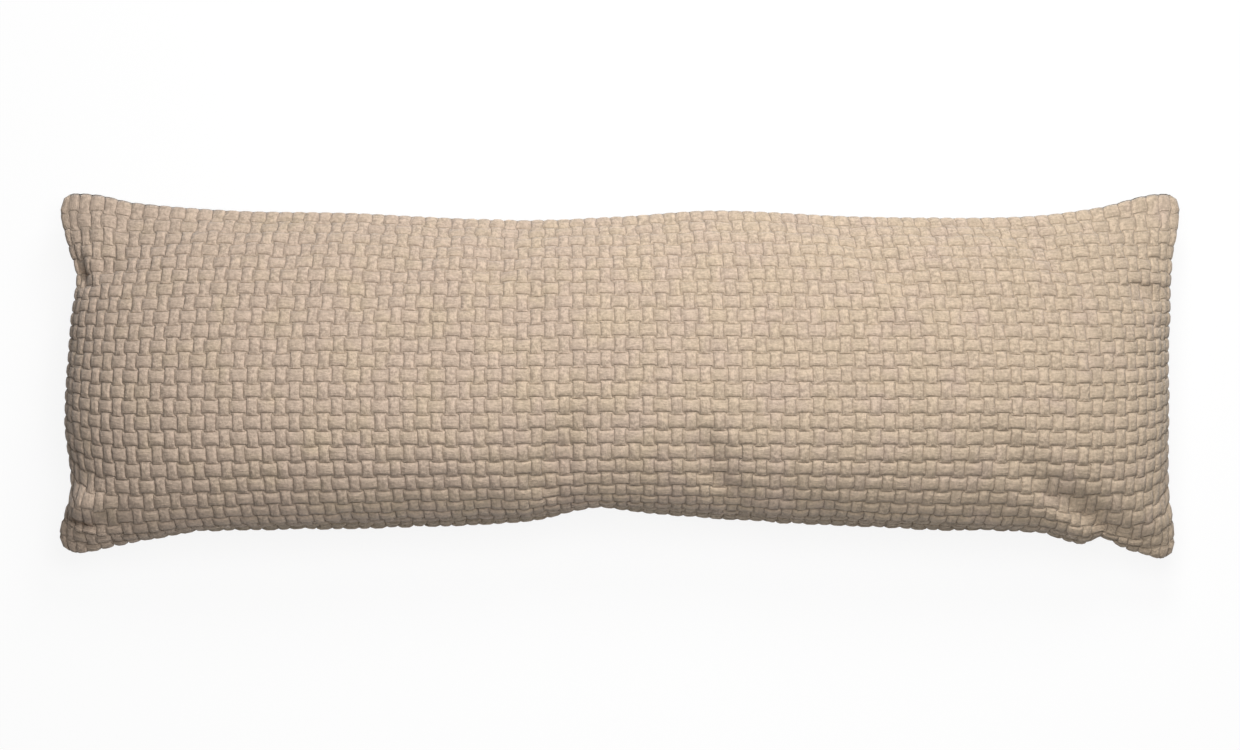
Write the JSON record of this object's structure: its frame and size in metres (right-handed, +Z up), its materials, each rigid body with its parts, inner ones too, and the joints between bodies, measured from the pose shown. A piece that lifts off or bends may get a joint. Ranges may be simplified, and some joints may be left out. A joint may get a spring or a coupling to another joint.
{
  "type": "lumbar pillow",
  "caption": "Long knife-edge lumbar pillow in chunky beige basket-weave cloth, filled, with drawn-in sides and corner ears, lying on its back.",
  "frame": {"origin": "middle of the bounding box's bottom face, on the surface that the pillow lies on", "axes": "+X along the pillow's length, +Y across it towards the long edge that is uppermost in the picture, +Z up out of the front panel"},
  "size_m": [0.9098, 0.2982, 0.1128],
  "materials": {
    "cover_cloth": "chunky soft basket-weave cloth, matt, warm beige with darker grooves between the blocks"
  },
  "bodies": {
    "root": {"pillow": "cover_cloth"}
  },
  "joints": []
}
